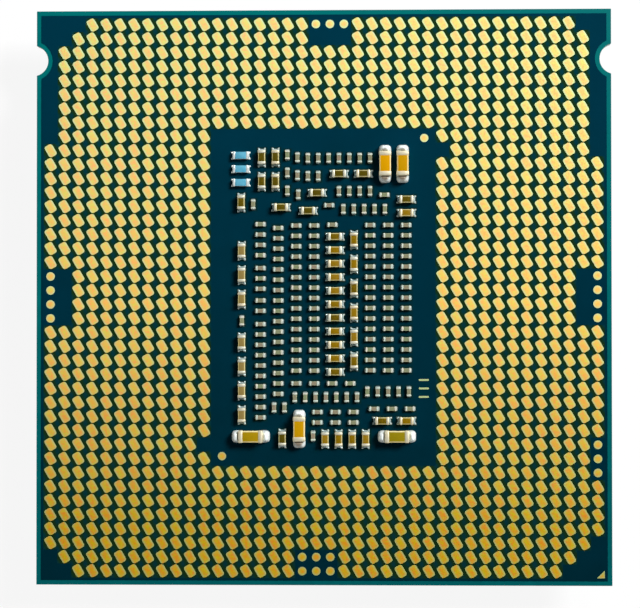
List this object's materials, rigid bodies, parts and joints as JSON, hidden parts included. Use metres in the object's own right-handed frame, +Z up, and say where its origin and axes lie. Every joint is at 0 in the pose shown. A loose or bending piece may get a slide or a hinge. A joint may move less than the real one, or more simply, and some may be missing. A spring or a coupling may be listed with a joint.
{
  "type": "computer processor",
  "caption": "Square land-grid computer processor: gold contact lands round a window of chip capacitors on a thin laminate board, with a stepped metal lid on the other side.",
  "frame": {"origin": "centre of the lid's flat face, on the plane that the part rests on", "axes": "+Z up out of the land side, +Y towards the edge that the two key notches lie near, +X to the right as seen from above"},
  "size_m": [0.0376, 0.0376, 0.0051],
  "materials": {
    "nickel": "nickel-plated copper, satin",
    "sealant": "black silicone, matte",
    "thermal": "grey thermal compound",
    "silicon": "polished silicon",
    "underfill": "dark epoxy",
    "laminate": "teal laminate under clear mask",
    "solder_mask": "dark blue-green solder mask over copper",
    "gold": "gold plate, satin",
    "large_ceramic": "orange-gold ceramic",
    "medium_ceramic": "olive-brown ceramic",
    "small_ceramic": "grey-tan ceramic",
    "alumina": "white alumina",
    "blue_glaze": "blue glass coat",
    "tin": "tinned end band",
    "solder": "bright solder"
  },
  "bodies": {
    "root": {"lid": "nickel", "lid_sealant": "sealant", "thermal_layer": "thermal", "die": "silicon", "underfill": "underfill", "board": "laminate", "lid_side_mask": "solder_mask", "land_side_mask": "solder_mask", "upper_lands": "gold", "lower_lands": "gold", "left_lands": "gold", "right_lands": "gold", "test_pads": "gold", "fiducials": "gold", "corner_mark": "gold", "lid_side_corner_mark": "gold", "large_capacitor_1_body": "large_ceramic", "large_capacitor_1_terminals": "tin", "large_capacitor_1_solder": "solder", "large_capacitor_2_body": "large_ceramic", "large_capacitor_2_terminals": "tin", "large_capacitor_2_solder": "solder", "large_capacitor_3_body": "large_ceramic", "large_capacitor_3_terminals": "tin", "large_capacitor_3_solder": "solder", "large_capacitor_4_body": "large_ceramic", "large_capacitor_4_terminals": "tin", "large_capacitor_4_solder": "solder", "large_capacitor_5_body": "large_ceramic", "large_capacitor_5_terminals": "tin", "large_capacitor_5_solder": "solder", "resistor_1_body": "alumina", "resistor_1_glaze": "blue_glaze", "resistor_1_terminals": "tin", "resistor_1_solder": "solder", "resistor_2_body": "alumina", "resistor_2_glaze": "blue_glaze", "resistor_2_terminals": "tin", "resistor_2_solder": "solder", "resistor_3_body": "alumina", "resistor_3_glaze": "blue_glaze", "resistor_3_terminals": "tin", "resistor_3_solder": "solder", "medium_capacitor_bodies": "medium_ceramic", "medium_capacitor_terminals": "tin", "medium_capacitor_solder": "solder", "small_capacitor_bodies": "small_ceramic", "small_capacitor_terminals": "tin", "small_capacitor_solder": "solder"}
  },
  "joints": []
}
